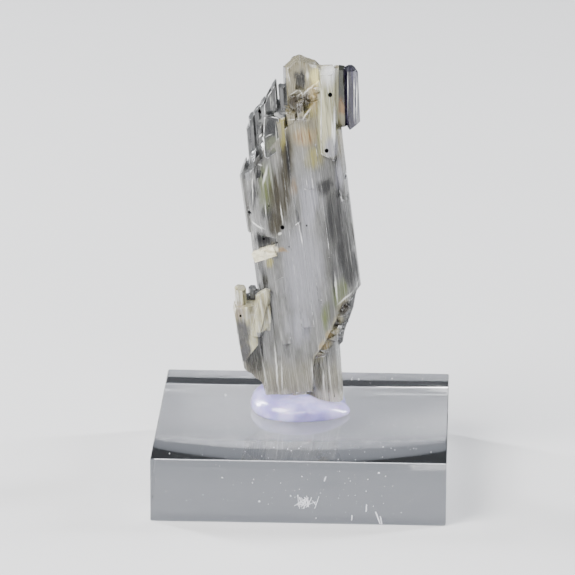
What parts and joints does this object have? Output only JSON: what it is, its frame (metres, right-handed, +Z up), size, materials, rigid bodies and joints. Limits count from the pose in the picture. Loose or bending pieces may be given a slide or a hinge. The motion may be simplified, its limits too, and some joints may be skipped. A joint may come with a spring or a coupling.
{
  "type": "clinozoisite crystal specimen",
  "caption": "Mineral display specimen: a leaning sheaf of striated, broken prismatic crystals, its foot set in a glue blob on a clear square acrylic block.",
  "frame": {"origin": "centre of the block's underside, on the surface it rests on", "axes": "+Z up, the longest extent; -Y the front of the specimen, square to the block's front side; +X to the right as seen from the front"},
  "size_m": [0.0286, 0.0286, 0.0421],
  "materials": {
    "acrylic_block": "clear polished acrylic with light dust",
    "glue_blob": "glossy, milky, slightly see-through hot-melt glue",
    "clinozoisite_crystals": "vitreous, milky to clear, striated along its length, with tan and olive stains"
  },
  "bodies": {
    "root": {"acrylic_block": "acrylic_block", "glue_blob": "glue_blob", "clinozoisite_crystals": "clinozoisite_crystals"}
  },
  "joints": []
}
